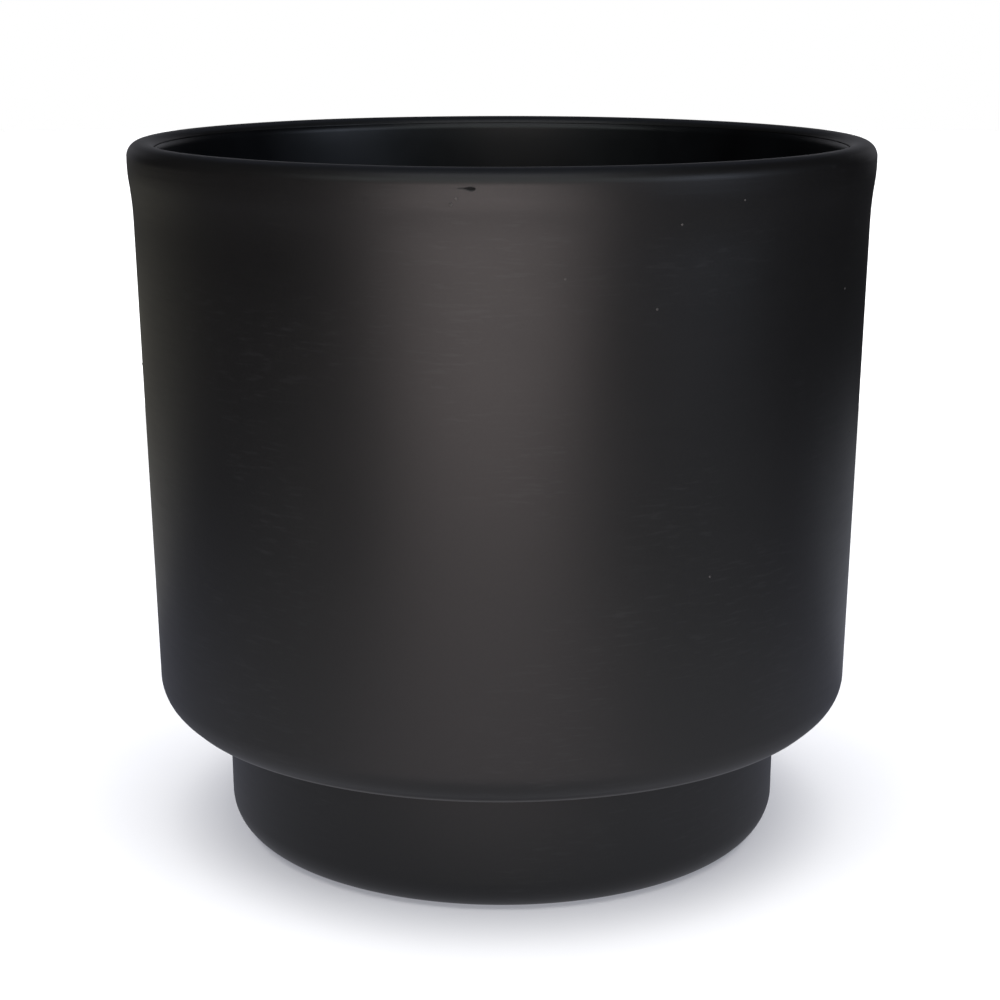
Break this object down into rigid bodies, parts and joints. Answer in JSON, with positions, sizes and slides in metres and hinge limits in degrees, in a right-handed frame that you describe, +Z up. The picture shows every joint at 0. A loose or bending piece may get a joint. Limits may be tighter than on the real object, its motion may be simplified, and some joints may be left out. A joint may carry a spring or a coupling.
{
  "type": "candle jar",
  "caption": "Squat round empty candle vessel with a rounded lip, a slightly tapered bowl and a smaller stepped foot, matt black outside and glossy black inside.",
  "frame": {"origin": "centre of the ring that the jar stands on, at its lowest plane", "axes": "+Z up along the jar's axis, towards the mouth; X and Y are equivalent"},
  "size_m": [0.1, 0.1, 0.0957],
  "materials": {
    "backed_glass": "gloss",
    "matt_lacquer": "matt"
  },
  "bodies": {
    "root": {"glass_vessel": "backed_glass", "outer_coating": "matt_lacquer", "base_coating": "matt_lacquer"}
  },
  "joints": []
}
